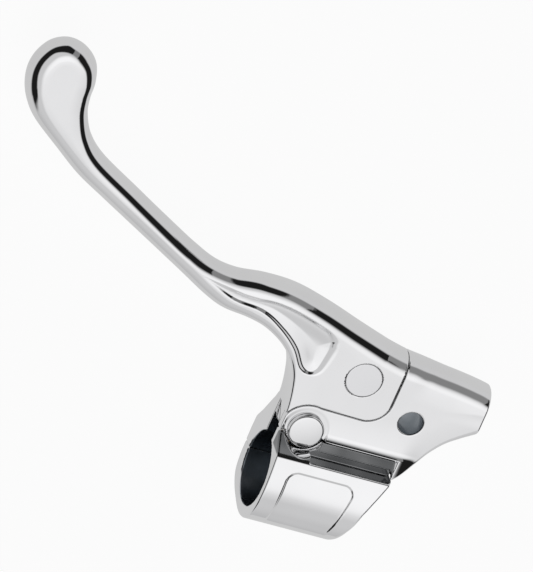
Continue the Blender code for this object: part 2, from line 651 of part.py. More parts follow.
def build_lever():
    blade = catmull(ROOT_FRONT[1:] + BLADE_FRONT + BLADE_REAR, closed=False)
    outline = ([(44.0, 20.0), (44.0, 52.6), NOSE[-1], ROOT_FRONT[0]]
               + blade + [(-0.1, 20.0)])
    lever = plate("lever", outline, BOTTOM, TOP, PARTS, edge=EDGE_ROUND)
    for vert in lever.data.vertices:
        vert.co.z *= blade_height(vert.co.x / MM)

    perch_room = ([(-20.0, 5.0), (-20.0, PIVOT[1] + 4.1)] + seam(SEAM_GAP)
                  + [(INBOARD_CLEAR, SEAM_END_Y), (INBOARD_CLEAR, 5.0)])
    cut(lever, plate("cut_lever_seam", perch_room, -CLEAR, CLEAR))
    join(lever, make_tongue())

    # The cable slot fans out inboard from the anchor.
    anchor_x, anchor_y = ANCHOR
    fan = [(anchor_x + 2.0, anchor_y + 1.6), (60.0, anchor_y + 3.4),
           (60.0, anchor_y - 26.0), (anchor_x + 1.0, anchor_y - 2.2)]
    cut(lever,
        rod("cut_lever_pivot", BUSH_OUT + 0.05, -THROUGH, THROUGH, PIVOT),
        rod("cut_anchor", ANCHOR_BORE_R, -THROUGH, ANCHOR_LIP_Z, ANCHOR),
        rod("cut_anchor_lip", ANCHOR_LIP_R, -THROUGH, THROUGH, ANCHOR),
        plate("cut_cable_fan", fan, MID - FAN_HALF, MID + FAN_HALF),
        plate("cut_pocket", catmull(POCKET, closed=True), TOP - POCKET_DEPTH, TOP + 5.0))
    finish(lever, "chrome_lever", (*PIVOT, MID))


# ---------------------------------------------------------------- anchor
def build_anchor_bush(name, lo, hi, material_name):
    bush = ring(name, ANCHOR_BUSH_IN, ANCHOR_BUSH_OUT, lo, hi, ANCHOR)
    finish(bush, material_name, (*ANCHOR, lo))


def build_anchor_pin():
    """Pin with a clip groove near its lower end, cross-drilled along X."""
    pin_top = TOP - 0.05
    pin = turned("cable_anchor_pin",
                 [(0.0, pin_top), (5.8, pin_top), (ANCHOR_R, TOP - 0.4),
                  (ANCHOR_R, -8.85), (5.2, -8.85), (5.2, -9.4), (ANCHOR_R, -9.4),
                  (ANCHOR_R, -9.8), (5.8, -10.1), (0.0, -10.1)], ANCHOR)
    x = ANCHOR[0]
    cut(pin,
        rod("cut_anchor_wire", WIRE_R, x - 1.0, x + CROSS_HOLE_REACH, CABLE_AXIS,
            axis='X', seg=20),
        rod("cut_anchor_nipple", NIPPLE_R, x - CROSS_HOLE_REACH, x + 1.0, CABLE_AXIS,
            axis='X', seg=28))
    finish(pin, "anchor_steel", (*ANCHOR, MID))


# ---------------------------------------------------------------- assembly
for ob in list(bpy.data.objects):
    bpy.data.objects.remove(ob, do_unlink=True)

PARTS = bpy.data.collections.new("clutch_lever")
CUTTERS = bpy.data.collections.new("cutters")
bpy.context.scene.collection.children.link(PARTS)
bpy.context.scene.collection.children.link(CUTTERS)
MATERIALS = {row[0]: make_material(*row) for row in MATERIAL_TABLE}

bore_tools = [
    rod("cut_bore", BORE_R, -5.0, 60.0, (0.0, 0.0), axis='X', seg=64),
    rod("cut_bore_chamfer", BORE_R + BORE_CHAMFER, -1.0, 1.0, (0.0, 0.0), axis='X',
        seg=64, end_radius=BORE_R)]
build_perch(bore_tools)
build_clamp_cap(bore_tools)
for index, (place_x, side_tag, suffix) in enumerate(
        zip(SCREW_X, ("outboard", "inboard"), "ab")):
    build_screw(index, place_x, side_tag, "screw_steel_" + suffix)
    build_lock_washer(index, place_x, side_tag, "washer_zinc_" + suffix)
build_pivot_pin()
build_clip("pivot_clip", PIVOT, inner=3.3, outer=5.9, lo=-9.65, hi=-9.1,
           material_name="clip_steel_a")
build_wave_washer()
build_cable_seat()
build_lever()
build_pivot_bushes()
build_anchor_bush("anchor_bush_top", lo=1.0, hi=4.85, material_name="bush_polymer_a")
build_anchor_bush("anchor_bush_bottom", lo=-8.2, hi=-4.4, material_name="bush_polymer_b")
build_anchor_pin()
build_clip("anchor_clip", ANCHOR, inner=5.25, outer=7.6, lo=-9.3, hi=-8.95,
           material_name="clip_steel_b")

# Bring the origin to its place behind the bore.
for ob in PARTS.objects:
    ob.location.y += DATUM_Y * MM
bpy.context.view_layer.update()
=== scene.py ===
"""Clutch lever, its perch and the clamp cap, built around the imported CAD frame.

The handlebar bore runs along X and starts at the end face x = 0; the pivot pin
stands along Z.  The blade reaches out towards -X and +Y, the perch's nose
towards +X.  The polished castings are implicit solids: signed distances,
negative inside, cut and joined with small fillets, then meshed with a surface
net whose points are pulled onto the exact surface.  The pin is a lathe profile.
Sizes are millimetres from the bore axis, turned into metres when a mesh is made.
"""
import bpy
import bmesh
import functools
import itertools
import math
import numpy as np
from mathutils import Vector, Matrix


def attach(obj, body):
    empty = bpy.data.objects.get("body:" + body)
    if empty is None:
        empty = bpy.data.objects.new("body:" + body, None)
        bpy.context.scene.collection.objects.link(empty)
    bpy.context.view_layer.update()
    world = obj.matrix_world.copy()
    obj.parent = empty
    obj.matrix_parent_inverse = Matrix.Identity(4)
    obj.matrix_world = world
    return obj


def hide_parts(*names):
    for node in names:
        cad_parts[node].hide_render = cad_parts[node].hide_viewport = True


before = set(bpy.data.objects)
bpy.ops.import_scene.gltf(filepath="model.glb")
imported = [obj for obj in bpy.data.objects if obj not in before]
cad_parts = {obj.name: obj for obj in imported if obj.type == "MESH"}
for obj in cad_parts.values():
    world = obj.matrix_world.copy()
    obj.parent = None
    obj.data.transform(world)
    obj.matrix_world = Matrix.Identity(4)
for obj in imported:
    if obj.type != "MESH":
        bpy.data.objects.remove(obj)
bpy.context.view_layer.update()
MM = 0.001
DATUM_Y = 14.4          # handlebar bore axis, +Y of the frame's origin

# ------------------------------------------------------------------ sizes
BORE_R = 12.7
BORE_CHAMFER = 0.45
TOP, BOTTOM = 5.3, -8.5             # faces of lever and perch arm
MID = (TOP + BOTTOM) / 2.0
HALF = (TOP - BOTTOM) / 2.0
PIVOT = (8.4, 20.7)
EAR_R = 8.9                         # perch ear around the pivot
SEAM_GAP = 0.22                     # between lever and perch
SEAM_Y, SEAM_X, SEAM_CORNER_R = 29.0, 32.7, 8.0
EAR_BOSS_R = 6.6
SPOT_FACE_R = 6.6
CAP_HOLLOW_R = 6.95
SLOT_LO, SLOT_HI, SLOT_X1 = -5.0, 2.5, 18.3     # slot in the perch for the lever's tongue
SLOT_Y0, SLOT_Y1 = 5.0, 40.0
TONGUE_LO, TONGUE_HI, TONGUE_R = -4.2, 1.7, 7.6
PIN_HEAD_R, PIN_HEAD_TOP = 6.0, 7.3
PIN_HEAD_DROP, PIN_RIM_R = 0.12, 0.75
PIN_R, PIN_BORE_R = 4.0, 4.1
PIN_GROOVE_R, PIN_GROOVE_TOP, PIN_GROOVE_LOW = 3.2, -9.0, -9.75
PIN_END, PIN_CHAMFER = -10.8, 0.5
BUSH_OUT = 5.2
ANCHOR = (20.0, 43.4)
ANCHOR_R = 6.2
ANCHOR_BORE_R, ANCHOR_BORE_TOP = 7.15, 4.88
ANCHOR_END = -10.1
ANCHOR_GROOVE_R, ANCHOR_GROOVE_LO, ANCHOR_GROOVE_HI = 5.2, -9.4, -8.85
MIRROR, MIRROR_R = (41.1, 32.5), 4.1
CABLE_Y, CABLE_Z = ANCHOR[1], MID
CABLE_BORE_R = 2.4
SEAT_BORE_R, SEAT_X0 = 5.05, 54.3
NOSE_END_X = 64.0
CAP_FRONT_Y, CAP_GAP = 18.3, 0.15
SPLIT = 0.05            # half the visible split of the clamp
SWELL_Y, SWELL_R = 21.3, 4.0
LIP_Z_OUT, LIP_Z_IN = 3.0, -3.0
SCREW_X, SCREW_Y = (23.5, 35.5), 15.6
SCREW_HOLE_R, COUNTERBORE_R, COUNTERBORE_Z = 2.2, 3.9, -9.0
PERCH_HOLE_TOP, CAP_HOLE_TOP = 4.5, 5.4
GROOVE_FLOOR_Z = 7.4
PANEL_DEPTH = 0.45
BLADE_SCALE = 0.80      # thickness of the blade against its root
FLOOR_Z = -18.3
FINE, ANCHOR_STEP = 0.35, 0.22      # surface net steps
LEVER_GRID_Z = 5.09                 # a level that the lever's net passes through


# ------------------------------------------------------------------ curves and fields
def catmull(points, per_span, closed=True):
    """Smooth curve through points of any dimension."""
    points = np.array(points, float)
    count = len(points)
    curve = []
    for i in range(count if closed else count - 1):
        if closed:
            before, start, end, after = (points[(i + k - 1) % count] for k in range(4))
        else:
            before, start = points[max(i - 1, 0)], points[i]
            end, after = points[i + 1], points[min(i + 2, count - 1)]
        for k in range(per_span):
            t = k / per_span
            curve.append(0.5 * (2 * start + (end - before) * t
                                + (2 * before - 5 * start + 4 * end - after) * t * t
                                + (3 * start - before - 3 * end + after) * t ** 3))
    if not closed:
        curve.append(points[-1])
    return np.array(curve)


def arc(centre, radius, first, last, segments):
    """Points of an arc between two angles in degrees."""
    angles = [math.radians(first + (last - first) * k / segments) for k in range(segments + 1)]
    return [(centre[0] + radius * math.cos(angle), centre[1] + radius * math.sin(angle))
            for angle in angles]


def rounded(corners, segments=10):
    """Polygon of (u, v, corner radius) rows with its corners rounded."""
    outline = []
    for i, (u, v, radius) in enumerate(corners):
        if radius <= 0:
            outline.append((u, v))
            continue
        corner = Vector((u, v))
        back = Vector(corners[i - 1][:2]) - corner
        ahead = Vector(corners[(i + 1) % len(corners)][:2]) - corner
        back_unit, ahead_unit = back.normalized(), ahead.normalized()
        opening = math.acos(max(-1.0, min(1.0, back_unit.dot(ahead_unit))))
        reach = min(radius / math.tan(opening / 2), 0.49 * back.length, 0.49 * ahead.length)
        radius = reach * math.tan(opening / 2)
        centre = corner + (back_unit + ahead_unit).normalized() * (radius / math.sin(opening / 2))
        start = corner + back_unit * reach - centre
        end = corner + ahead_unit * reach - centre
        first = math.atan2(start.y, start.x)
        turn = (math.atan2(end.y, end.x) - first + math.pi) % (2 * math.pi) - math.pi
        for k in range(segments + 1):
            angle = first + turn * k / segments
            outline.append((centre.x + radius * math.cos(angle),
                            centre.y + radius * math.sin(angle)))
    return outline


class Field:
    """A function on a grid, read back with a cubic B-spline, so that its
    slope and curvature are continuous."""

    def __init__(self, origin, step, values):
        self.origin = origin
        self.step = step
        self.values = values.astype(np.float64)

    @staticmethod
    def weights(t):
        rest = 1.0 - t
        return (rest * rest * rest / 6.0, (3 * t ** 3 - 6 * t * t + 4) / 6.0,
                (3 * rest ** 3 - 6 * rest * rest + 4) / 6.0, t * t * t / 6.0)

    def __call__(self, u, v):
        u, v = np.broadcast_arrays(u, v)
        count_u, count_v = self.values.shape
        u = np.clip((u - self.origin[0]) / self.step, 1.0, count_u - 2.01)
        v = np.clip((v - self.origin[1]) / self.step, 1.0, count_v - 2.01)
        i, j = np.floor(u).astype(np.int64), np.floor(v).astype(np.int64)
        weights_u, weights_v = self.weights(u - i), self.weights(v - j)
        total = 0.0
        for p in range(4):
            row = 0.0
            for q in range(4):
                row = row + weights_v[q] * self.values[i + p - 1, j + q - 1]
            total = total + weights_u[p] * row
        return total


def plan_field(points, low, high, step, values=None):
    """Distance to a closed outline, negative inside; and, with values, a second
    field of the value carried by the nearest outline point."""
    outline = np.asarray(points, float)[:, :2]
    grid_x, grid_y = np.meshgrid(np.arange(low[0], high[0] + step, step),
                                 np.arange(low[1], high[1] + step, step), indexing="ij")
    nearest = np.full(grid_x.shape, 1e18)
    inside = np.zeros(grid_x.shape, bool)
    carried = np.zeros(grid_x.shape)
    count = len(outline)
    for k in range(count):
        start_x, start_y = outline[k]
        end_x, end_y = outline[(k + 1) % count]
        run_x, run_y = end_x - start_x, end_y - start_y
        length2 = run_x * run_x + run_y * run_y
        if length2 < 1e-14:
            continue
        t = np.clip(((grid_x - start_x) * run_x + (grid_y - start_y) * run_y) / length2, 0.0, 1.0)
        distance2 = (grid_x - start_x - t * run_x) ** 2 + (grid_y - start_y - t * run_y) ** 2
        closer = distance2 < nearest
        nearest[closer] = distance2[closer]
        if values is not None:
            carried[closer] = ((1 - t) * values[k] + t * values[(k + 1) % count])[closer]
        if start_y != end_y:
            inside ^= (((start_y > grid_y) != (end_y > grid_y))
                       & (grid_x < (end_x - start_x) * (grid_y - start_y) / (end_y - start_y)
                          + start_x))
    distance = np.sqrt(nearest)
    field = Field(low, step, np.where(inside, -distance, distance))
    if values is None:
        return field
    for _ in range(6):      # soften where the nearest point changes sides
        pad = np.pad(carried, 1, mode="edge")
        carried = (pad[:-2, 1:-1] + pad[2:, 1:-1] + pad[1:-1, :-2] + pad[1:-1, 2:]
                   + 2 * carried) / 6.0
    return field, Field(low, step, carried)


# ------------------------------------------------------------------ implicit solids
def cut_round(first, second, edge):
    """Intersection of two solids with a rounded edge."""
    return (np.minimum(-edge, np.maximum(first, second))
            + np.hypot(np.maximum(first + edge, 0), np.maximum(second + edge, 0)))


def join_round(first, second, fillet):
    """Union of two solids with a fillet."""
    return (np.maximum(fillet, np.minimum(first, second))
            - np.hypot(np.maximum(fillet - first, 0), np.maximum(fillet - second, 0)))


def remove(body, *tool, edge):
    """Body less the overlap of the tool's solids, with a rounded edge."""
    return cut_round(body, -functools.reduce(np.maximum, tool), edge)


def slab(plan, z, up, down, edge):
    """Plate of a plan distance between MID - down and MID + up."""
    height = np.where(z > MID, z - MID - up, MID - z - down) + edge
    width = plan + edge
    return (np.minimum(np.maximum(width, height), 0)
            + np.hypot(np.maximum(width, 0), np.maximum(height, 0)) - edge)


def box_dist(value, low, high):
    return np.maximum(low - value, value - high)


def smooth(t):
    """Step from 0 to 1 with continuous curvature."""
    t = np.clip(t, 0.0, 1.0)
    return t * t * t * (t * (6 * t - 15) + 10)


def fall(plan, width):
    """1 at the outline, 0 from `width` inside it."""
    return (1.0 + np.clip(plan / width, -1.0, 0.0)) ** 2


def radial(x, y, at):
    return np.hypot(x - at[0], y - at[1])


def from_cable(y, z):
    return np.hypot(y - CABLE_Y, z - CABLE_Z)


def cut_bore(body, x, y, z):
    """Handlebar bore with its 45 degree chamfer at the end face."""
    rho = np.hypot(y, z)
    body = remove(body, rho - BORE_R, edge=0.2)
    return np.maximum(body, (BORE_R + BORE_CHAMFER - x - rho) * 0.7071)


# ------------------------------------------------------------------ shared outlines
# x, y, edge radius; the outline runs round the nose, along the front of the
# root and blade (+Y side), round the tip and back along the rear (-Y side)
NOSE = [(34.0, 7.6, .6), (40.2, 9.4, .6), (44.6, 13.0, .6), (48.2, 18.2, .8),
        (51.2, 23.2, 1.2), (55.0, 27.8, 1.6), (59.2, 31.0, 2.0), (63.9, 34.0, 2.4),
        (69.0, 37.0, 3.0), (73.0, 42.0, 4.0), (69.0, 47.2, 5.6), (63.9, 49.4, 6.0),
        (58.6, 50.6, 6.2), (53.0, 51.5, 6.3), (47.0, 52.3, 6.4), (41.0, 53.2, 6.4),
        (33.2, 54.1, 6.4)]
ROOT_FRONT = [(25.5, 55.9, 6.4), (14.1, 59.5, 6.2), (1.2, 63.7, 5.8)]
BLADE_FRONT = [(-11.6, 66.9, 5.5), (-23.0, 67.6, 5.3), (-33.0, 67.0, 5.2), (-41.5, 68.4, 5.2),
               (-50.0, 72.0, 5.2), (-58.4, 76.3, 5.2), (-75.8, 85.6, 4.8), (-91.5, 94.2, 4.4),
               (-98.9, 100.8, 3.8), (-103.3, 108.2, 3.4), (-104.8, 114.0, 3.4),
               (-105.2, 120.0, 3.9), (-107.4, 126.2, 4.8), (-112.6, 130.4, 5.4),
               (-118.5, 131.4, 5.4), (-123.8, 128.9, 5.4), (-127.0, 123.8, 5.4),
               (-127.9, 118.0, 5.4), (-126.6, 112.0, 5.3), (-123.6, 106.4, 5.0),
               (-118.6, 100.9, 4.8)]
BLADE_REAR = [(-108.0, 93.2, 4.4), (-97.9, 86.1, 4.6), (-87.1, 80.3, 4.6), (-75.8, 74.4, 4.6),
              (-64.5, 68.5, 4.6), (-52.5, 62.2, 4.6), (-41.5, 56.4, 4.6), (-33.9, 53.6, 4.4),
              (-25.1, 52.9, 3.8), (-18.3, 51.6, 3.0), (-11.5, 48.2, 2.2), (-6.6, 43.8, 1.6),
              (-3.4, 38.6, 1.2), (-1.6, 33.0, 1.0), (-0.4, 27.0, .8), (-0.1, 22.0, .8)]
# x, y of the +X flank shared by the clamp's jaw and cap
CLAMP_FLANK = [(32.3, -14.0), (33.5, -7.5), (35.6, 0.5), (37.6, 5.5), (40.4, 12.0)]


def perch_side(offset, left, rise):
    """The perch's side of its seam with the lever: around the ear, along -Y
    of the lever's root and up past its +X end."""
    seam = arc(PIVOT, EAR_R + offset, 158.0, 76.0, 40)
    y, x, radius = SEAM_Y + offset, SEAM_X - offset, SEAM_CORNER_R - offset
    seam += arc((x - radius, y + radius), radius, -90.0, 0.0, 30)
    seam.append((x, 80.0))
    return ([(left, -40.0), (left, PIVOT[1] + 3.0 + rise)]
            + seam + [(110.0, 80.0), (110.0, -40.0)])


# ------------------------------------------------------------------ lever
lever_outline = np.vstack([
    [(46.0, 18.0, .8)], NOSE[-3:-1],
    catmull(NOSE[-2:] + ROOT_FRONT[:1], 8, closed=False)[1:-1],
    catmull(ROOT_FRONT + BLADE_FRONT + BLADE_REAR, 10, closed=False),
    [(-0.1, 18.0, .8)]])
LEVER_PLAN, LEVER_EDGE = plan_field(lever_outline, (-131.0, 10.0), (36.0, 135.0), 0.4,
                                    values=lever_outline[:, 2])
LEVER_SEAM = plan_field(perch_side(SEAM_GAP, -60.0, 1.1), (-4.0, 10.0), (40.0, 70.0), 0.25)
# x, y of the shallow pocket in the lever's top
POCKET = [(-46.0, 64.6), (-33.5, 58.6), (-22.0, 57.1), (-13.8, 53.0), (-7.0, 47.6),
          (-2.3, 41.4), (1.8, 39.8), (5.7, 41.6), (7.5, 47.5), (7.7, 52.4), (5.0, 56.4),
          (-8.2, 61.0), (-18.1, 62.7), (-28.2, 62.2)]
POCKET_PLAN = plan_field(catmull(POCKET, 10), (-52.0, 34.0), (14.0, 68.0), 0.3)
TONGUE = ([(0.6, 36.0), (0.3, 24.0)] + arc(PIVOT, TONGUE_R, 200.0, 330.0, 40)
          + [(17.2, 26.0), (17.4, 36.0)])
TONGUE_PLAN = plan_field(TONGUE, (-4.0, 8.0), (24.0, 40.0), 0.25)
# wedge opening from the anchor towards +X
FAN = [(ANCHOR[0] + 2.0, ANCHOR[1] + 1.6), (60.0, ANCHOR[1] + 3.4),
       (60.0, ANCHOR[1] - 26.0), (ANCHOR[0] + 1.0, ANCHOR[1] - 2.2)]
FAN_PLAN = plan_field(FAN, (14.0, 14.0), (40.0, 56.0), 0.3)
FAN_HALF = 2.0


def lever_solid(x, y, z):
    plan = LEVER_PLAN(x, y)
    # 0 at the root, 1 from x = -48 outwards, where the blade is thinnest
    out = np.clip((-8.0 - x) / 40.0, 0.0, 1.0)
    half = HALF * (1.0 + (BLADE_SCALE - 1.0) * out * out * (3 - 2 * out))
    # pocket with a stepped wall and a gentle dish, shallower towards -X
    depth = -POCKET_PLAN(x, y)
    dish = 0.8 * smooth(depth / (1.7 + 3.0 * smooth((x - 1.0) / 6.0))) + 0.5 * smooth(depth / 8.0)
    dish = dish * (0.25 + 0.75 * smooth((x + 46.0) / 22.0))
    # both faces fall away towards the outline
    crown = (0.10 + 0.42 * out) * fall(plan, 9.0 - 2.0 * out)
    body = slab(plan, z, half - dish - crown, half - crown,
                np.minimum(LEVER_EDGE(x, y), half - crown - 0.06))
    body = remove(body, LEVER_SEAM(x, y), edge=0.35)
    tongue = cut_round(TONGUE_PLAN(x, y), np.abs(z - (TONGUE_LO + TONGUE_HI) / 2)
                       - (TONGUE_HI - TONGUE_LO) / 2, edge=0.3)
    body = np.minimum(body, tongue)
    body = cut_round(body, BUSH_OUT + 0.05 - radial(x, y, PIVOT), edge=0.2)
    from_anchor = radial(x, y, ANCHOR)
    body = remove(body, from_anchor - ANCHOR_BORE_R, z - ANCHOR_BORE_TOP, edge=0.05)
    body = remove(body, from_anchor - ANCHOR_R, edge=0.18)
    return remove(body, FAN_PLAN(x, y), np.abs(z - MID) - FAN_HALF, edge=0.3)


# ------------------------------------------------------------------ perch
PERCH_LO, PERCH_HI = (-18.0, -4.0), (72.0, 60.0)
arm_outline = np.vstack([catmull(NOSE + ROOT_FRONT[:1], 10, closed=False),
                         [(12.0, 60.0, 6.4), (-14.0, 66.0, 6.4), (-18.0, 36.0, 1.0),
                          (-14.0, 7.6, 1.0)]])
ARM_PLAN, ARM_EDGE = plan_field(arm_outline, PERCH_LO, PERCH_HI, 0.4, values=arm_outline[:, 2])
PERCH_SIDE = plan_field(perch_side(0.0, -30.0, 0.0), PERCH_LO, PERCH_HI, 0.25)
# x, y, corner radius of the clamp's lower jaw
JAW_OUTLINE = ([(-6.0, -30.0, 0), (31.8, -30.0, 0)]
               + [(x, y, radius) for (x, y), radius in zip(CLAMP_FLANK, (6, 6, 6, 6, 5))]
               + [(46.6, 15.0, 3), (49.4, 20.2, 2), (52.0, 25.0, 0), (-6.0, 25.0, 0)])
JAW_PLAN = plan_field(rounded(JAW_OUTLINE), PERCH_LO, PERCH_HI, 0.25)
# y, z, corner radius of the jaw's section
JAW = [(SPLIT, -17.9, 0), (5.0, -18.2, 0.9), (9.5, -18.0, 0.9), (13.9, -14.9, 0.9),
       (19.3, -11.8, 0.9), (24.6, -8.6, 0.9), (24.6, -1.0, 0), (SPLIT, -1.0, 0)]
JAW_SECTION = plan_field(rounded(JAW), (-4.0, -24.0), (30.0, 8.0), 0.25)
# x, y of the room for the cap on the slot's side, with the ear's boss left standing
CAP_ROOM = ([(-2.0, -4.0), (SLOT_X1 + CAP_GAP, -4.0), (SLOT_X1 + CAP_GAP, CAP_FRONT_Y + CAP_GAP)]
            + arc(PIVOT, EAR_BOSS_R, -17.0, -163.0, 60) + [(-2.0, CAP_FRONT_Y + CAP_GAP)])
CAP_ROOM_PLAN = plan_field(CAP_ROOM, (-6.0, -8.0), (24.0, 26.0), 0.2)
CAP_ROOM_Z, CAP_ROOM_X1 = -0.5, 42.2
CABLE_BORE_X = (25.0, 60.0)


def perch_solid(x, y, z):
    plan = ARM_PLAN(x, y)
    from_pivot = radial(x, y, PIVOT)
    crown = 0.10 * fall(plan, 9.0)
    crown = crown + (0.5 * smooth((x - 35.0) / 8.0) * smooth((y - 36.0) / 8.0)
                     * fall(plan, 13.0))
    # the top sweeps up to the slope of the clamp, around the pivot's spot face
    reach = np.clip(SWELL_Y - y, 0.0, 2.5)
    rise = (SWELL_R - np.sqrt(SWELL_R ** 2 - reach * reach)
            + 0.35 * (np.clip(32.0 - y, 0.0, 13.3) / 13.0) ** 2)
    rise = rise * smooth((from_pivot - 6.9) / 1.6) * (1.0 - smooth((x - 41.0) / 9.0))
    body = slab(plan, z, HALF - crown + rise, HALF - crown, ARM_EDGE(x, y))
    body = cut_round(body, x - NOSE_END_X, edge=0.5)
    body = cut_round(body, PERCH_SIDE(x, y), edge=0.35)
    jaw = cut_round(JAW_SECTION(y, z), JAW_PLAN(x, y), edge=0.7)
    body = join_round(body, jaw, fillet=1.6)
    body = cut_round(body, -x, edge=0.5)
    # room for the cap on either side of x = SLOT_X1, then the slot of the tongue
    body = remove(body, CAP_ROOM_PLAN(x, y), CAP_ROOM_Z - z, edge=0.25)
    body = remove(body, box_dist(x, SLOT_X1, CAP_ROOM_X1), y - (CAP_FRONT_Y + CAP_GAP),
                  LIP_Z_IN - CAP_GAP - z, edge=0.25)
    body = remove(body, x - SLOT_X1, box_dist(y, SLOT_Y0, SLOT_Y1),
                  box_dist(z, SLOT_LO, SLOT_HI), edge=0.25)
    body = cut_bore(body, x, y, z)
    body = remove(body, from_pivot - PIN_BORE_R, edge=0.15)
    body = remove(body, from_pivot - SPOT_FACE_R, z - BOTTOM, edge=0.2)
    body = remove(body, radial(x, y, MIRROR) - MIRROR_R, edge=0.55)
    cable = from_cable(y, z)
    body = remove(body, cable - CABLE_BORE_R, box_dist(x, *CABLE_BORE_X), edge=0.2)
    body = remove(body, cable - SEAT_BORE_R, SEAT_X0 - 0.3 - x, edge=0.4)
    for screw_x in SCREW_X:
        screw = radial(x, y, (screw_x, SCREW_Y))
        body = remove(body, screw - SCREW_HOLE_R, z - PERCH_HOLE_TOP, edge=0.1)
        body = remove(body, screw - COUNTERBORE_R, z - COUNTERBORE_Z, edge=0.25)
    return body


# ------------------------------------------------------------------ clamp cap
# y, z of the cap's outside, from its +Y edge over the top to the split below
BARREL = [(18.3, 6.65), (17.4, 7.7), (15.3, 10.2), (13.6, 12.3), (12.6, 13.2), (6.4, 14.5),
          (0.0, 15.1), (-6.5, 14.3), (-12.0, 11.5), (-15.2, 7.0), (-16.3, 1.5),
          (-15.4, -5.0), (-13.6, -11.2), (-10.6, -15.6), (-5.4, -17.5), (-SPLIT, -17.9)]
CAP_OUTLINE = np.vstack([catmull(BARREL[:4], 6, closed=False)[:-1],
                         catmull(BARREL[3:5], 4, closed=False)[:-1],
                         catmull(BARREL[4:], 10, closed=False),
                         [(-SPLIT, -10.0), (2.0, -6.0), (18.3, -6.0)]])
CAP_SECTION = plan_field(CAP_OUTLINE, (-20.0, -22.0), (24.0, 20.0), 0.25)
# x, y, corner radius
TAPER = ([(42.0, 24.0, 0), (41.6, 18.3, 0)] + [(x, y, 5.0) for x, y in CLAMP_FLANK[::-1]]
         + [(31.8, -40.0, 0), (-20.0, -40.0, 0), (-20.0, 24.0, 0)])
TAPER_PLAN = plan_field(rounded(TAPER), (-4.0, -24.0), (48.0, 24.0), 0.25)
PANEL = [(5.7, -18.0, 0.5), (26.4, -18.0, 0.5), (30.9, 9.5, 4.2), (5.7, 9.5, 4.2)]
PANEL_PLAN = plan_field(rounded(PANEL, 12), (-2.0, -24.0), (40.0, 16.0), 0.2)
GROOVE = [(12.0, 12.9, 0), (40.6, 12.9, 1.5), (40.6, 16.0, 1.5), (12.0, 16.0, 0)]
GROOVE_PLAN = plan_field(rounded(GROOVE), (6.0, 8.0), (46.0, 20.0), 0.2)


def cap_solid(x, y, z):
    section = CAP_SECTION(y, z)
    back = np.clip((-4.0 - y) / 10.0, 0.0, 1.0)
    # the flank's edge is rounder towards -Y
    body = cut_round(section, TAPER_PLAN(x, y), edge=0.8 + 1.8 * back)
    body = cut_round(body, -x, edge=0.8)
    # +Y of the split the cap ends in a lip, lower from x = SLOT_X1 on
    body = remove(body, -SPLIT - y, z - LIP_Z_OUT, x - SLOT_X1, edge=0.25)
    body = remove(body, -SPLIT - y, z - LIP_Z_IN, edge=0.25)
    body = cut_bore(body, x, y, z)
    body = remove(body, radial(x, y, PIVOT) - CAP_HOLLOW_R, edge=0.35)
    body = remove(body, GROOVE_PLAN(x, y), GROOVE_FLOOR_Z - z, edge=0.3)
    # shallow panel on top, fading out towards -Y
    recess = PANEL_DEPTH * smooth(-PANEL_PLAN(x, y) / 1.1) * smooth((y + 13.5) / 6.0)
    body = np.where(z > 0, np.maximum(body, section + recess), body)
    for screw_x in SCREW_X:
        body = remove(body, radial(x, y, (screw_x, SCREW_Y)) - SCREW_HOLE_R,
                      z - CAP_HOLE_TOP, edge=0.1)
    return body


# ------------------------------------------------------------------ cable anchor
def anchor_solid(x, y, z):
    """Round nipple holder, cross drilled for the cable, grooved for its clip."""
    from_anchor = radial(x, y, ANCHOR)
    body = cut_round(from_anchor - (ANCHOR_R - 0.08), box_dist(z, ANCHOR_END, TOP - 0.03),
                     edge=0.18)
    body = remove(body, ANCHOR_GROOVE_R - from_anchor,
                  box_dist(z, ANCHOR_GROOVE_LO, ANCHOR_GROOVE_HI), edge=0.05)
    # narrow hole out to +X, wide one out to -X
    cable = from_cable(y, z)
    body = remove(body, cable - 1.6, ANCHOR[0] - 1.0 - x, edge=0.15)
    return remove(body, cable - 3.1, x - ANCHOR[0] - 1.0, edge=0.2)


# ------------------------------------------------------------------ meshing
def gradient(solid, points, reach=0.02):
    result = np.empty_like(points)
    for k in range(3):
        ahead, behind = points.copy(), points.copy()
        ahead[:, k] += reach
        behind[:, k] -= reach
        result[:, k] = (solid(*ahead.T) - solid(*behind.T)) / (2 * reach)
    return result


def net_points(values, active, low, step):
    """Middle of the surface crossings on each active cell's edges."""
    total = np.zeros((len(active), 3))
    crossings = np.zeros(len(active))
    corner = {}
    for a, b, c in itertools.product((0, 1), repeat=3):
        corner[a, b, c] = values[active[:, 0] + a, active[:, 1] + b,
                                 active[:, 2] + c].astype(float)
    for axis in range(3):
        others = [k for k in range(3) if k != axis]
        for u, v in itertools.product((0, 1), repeat=2):
            start = [0, 0, 0]
            start[others[0]], start[others[1]] = u, v
            end = list(start)
            end[axis] = 1
            at_start, at_end = corner[tuple(start)], corner[tuple(end)]
            crossed = (at_start < 0) != (at_end < 0)
            spot = np.tile(np.array(start, float), (len(active), 1))
            spot[:, axis] = np.where(crossed, at_start / np.where(crossed, at_start - at_end, 1.0),
                                     0.0)
            total[crossed] += spot[crossed]
            crossings[crossed] += 1
    return (total / crossings[:, None] + active) * step + np.array(low)


def pull_onto(solid, points, step):
    """Newton steps onto the surface, kept near each point's own cell."""
    home = points.copy()
    for _ in range(4):
        distance = solid(*points.T)
        uphill = gradient(solid, points)
        steepness = np.maximum((uphill * uphill).sum(1), 0.2)
        points = points - np.clip(distance / steepness, -step, step)[:, None] * uphill
        move = points - home
        far = np.linalg.norm(move, axis=1)
        points = home + move * np.minimum(1.0, 1.2 * step / np.maximum(far, 1e-9))[:, None]
    return points


